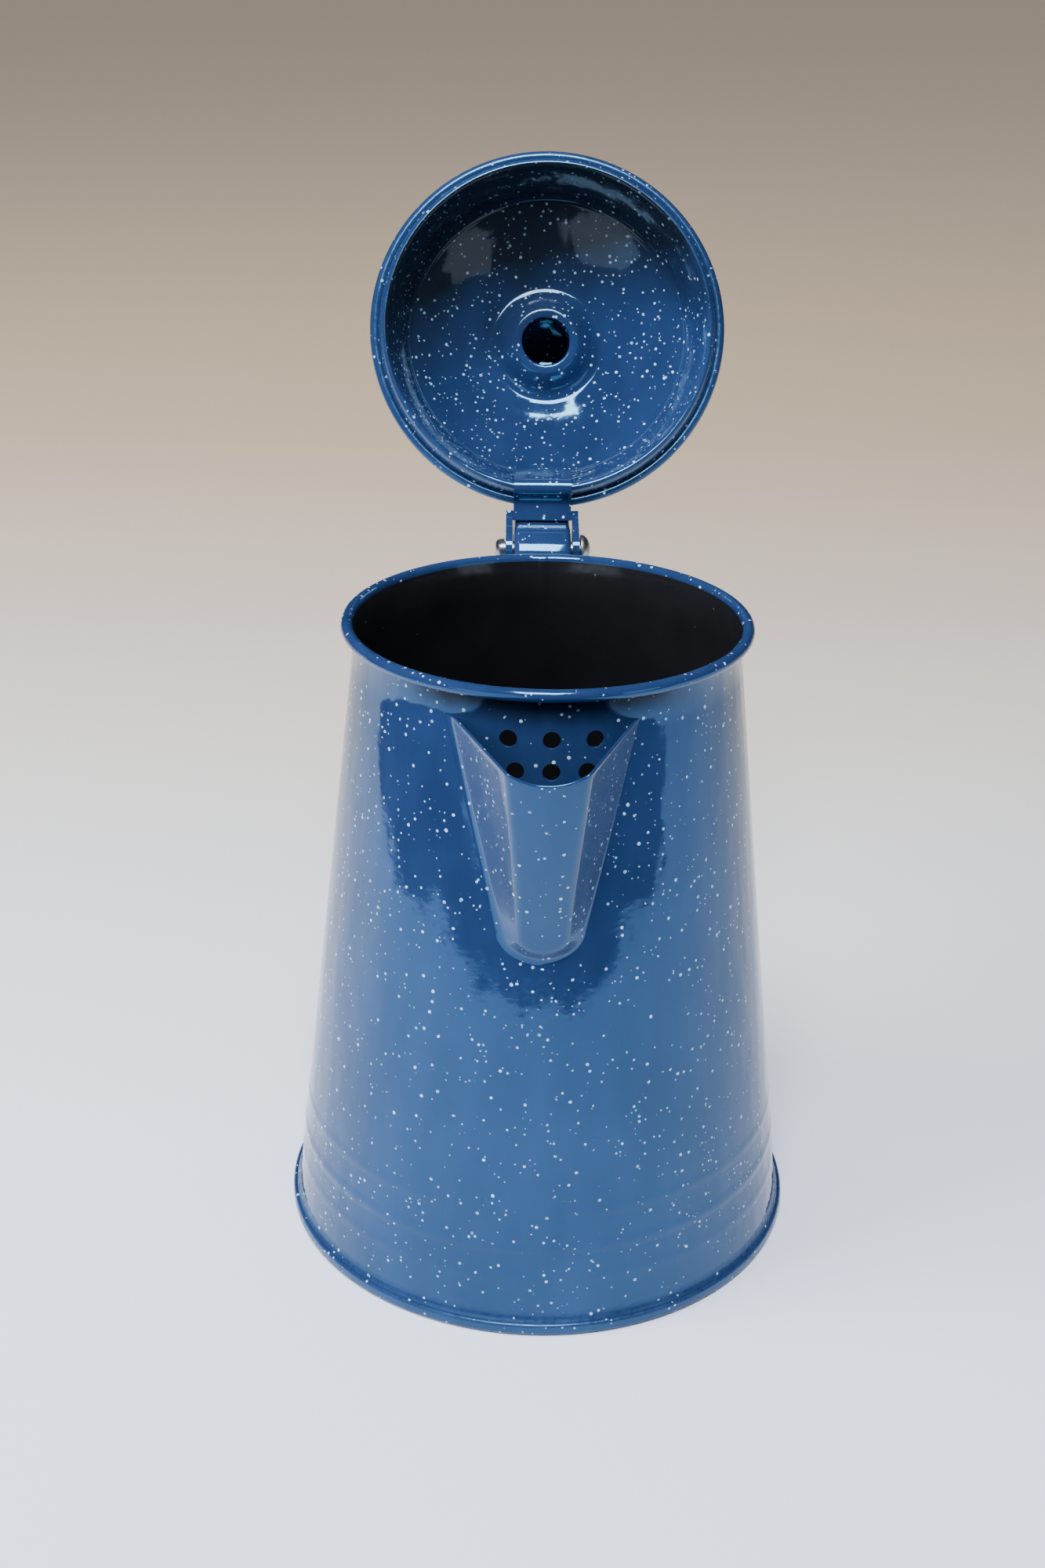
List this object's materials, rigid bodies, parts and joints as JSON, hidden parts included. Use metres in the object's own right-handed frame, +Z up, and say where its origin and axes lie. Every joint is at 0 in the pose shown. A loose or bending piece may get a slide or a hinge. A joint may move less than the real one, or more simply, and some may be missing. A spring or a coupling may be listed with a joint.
{
  "type": "coffee pot",
  "caption": "Conical enamelled sheet-steel coffee pot with a strainer spout, a strap handle and a lid hinged at the back.",
  "frame": {"origin": "centre of the flat underside, on the axis of the conical body", "axes": "+Z up along the body's axis, -Y towards the spout, +Y towards the hinge and handle, +X along the hinge pin"},
  "size_m": [0.1434, 0.2119, 0.2791],
  "materials": {
    "blue_enamel": "glossy speckled enamel",
    "steel": "bare"
  },
  "bodies": {
    "pot": {"body": "blue_enamel", "rim_wire": "steel", "bottom_plate": "blue_enamel", "spout": "blue_enamel", "handle": "blue_enamel", "hinge_pin": "steel"},
    "lid": {"lid": "blue_enamel", "knob": "blue_enamel", "lid_strap": "blue_enamel"}
  },
  "joints": [
    {"name": "lid_hinge", "type": "hinge", "parent": "pot", "child": "lid", "pos_m": [0, 0.0648, 0.174], "axis": [1, 0, 0], "range_deg": [0, 114]}
  ]
}
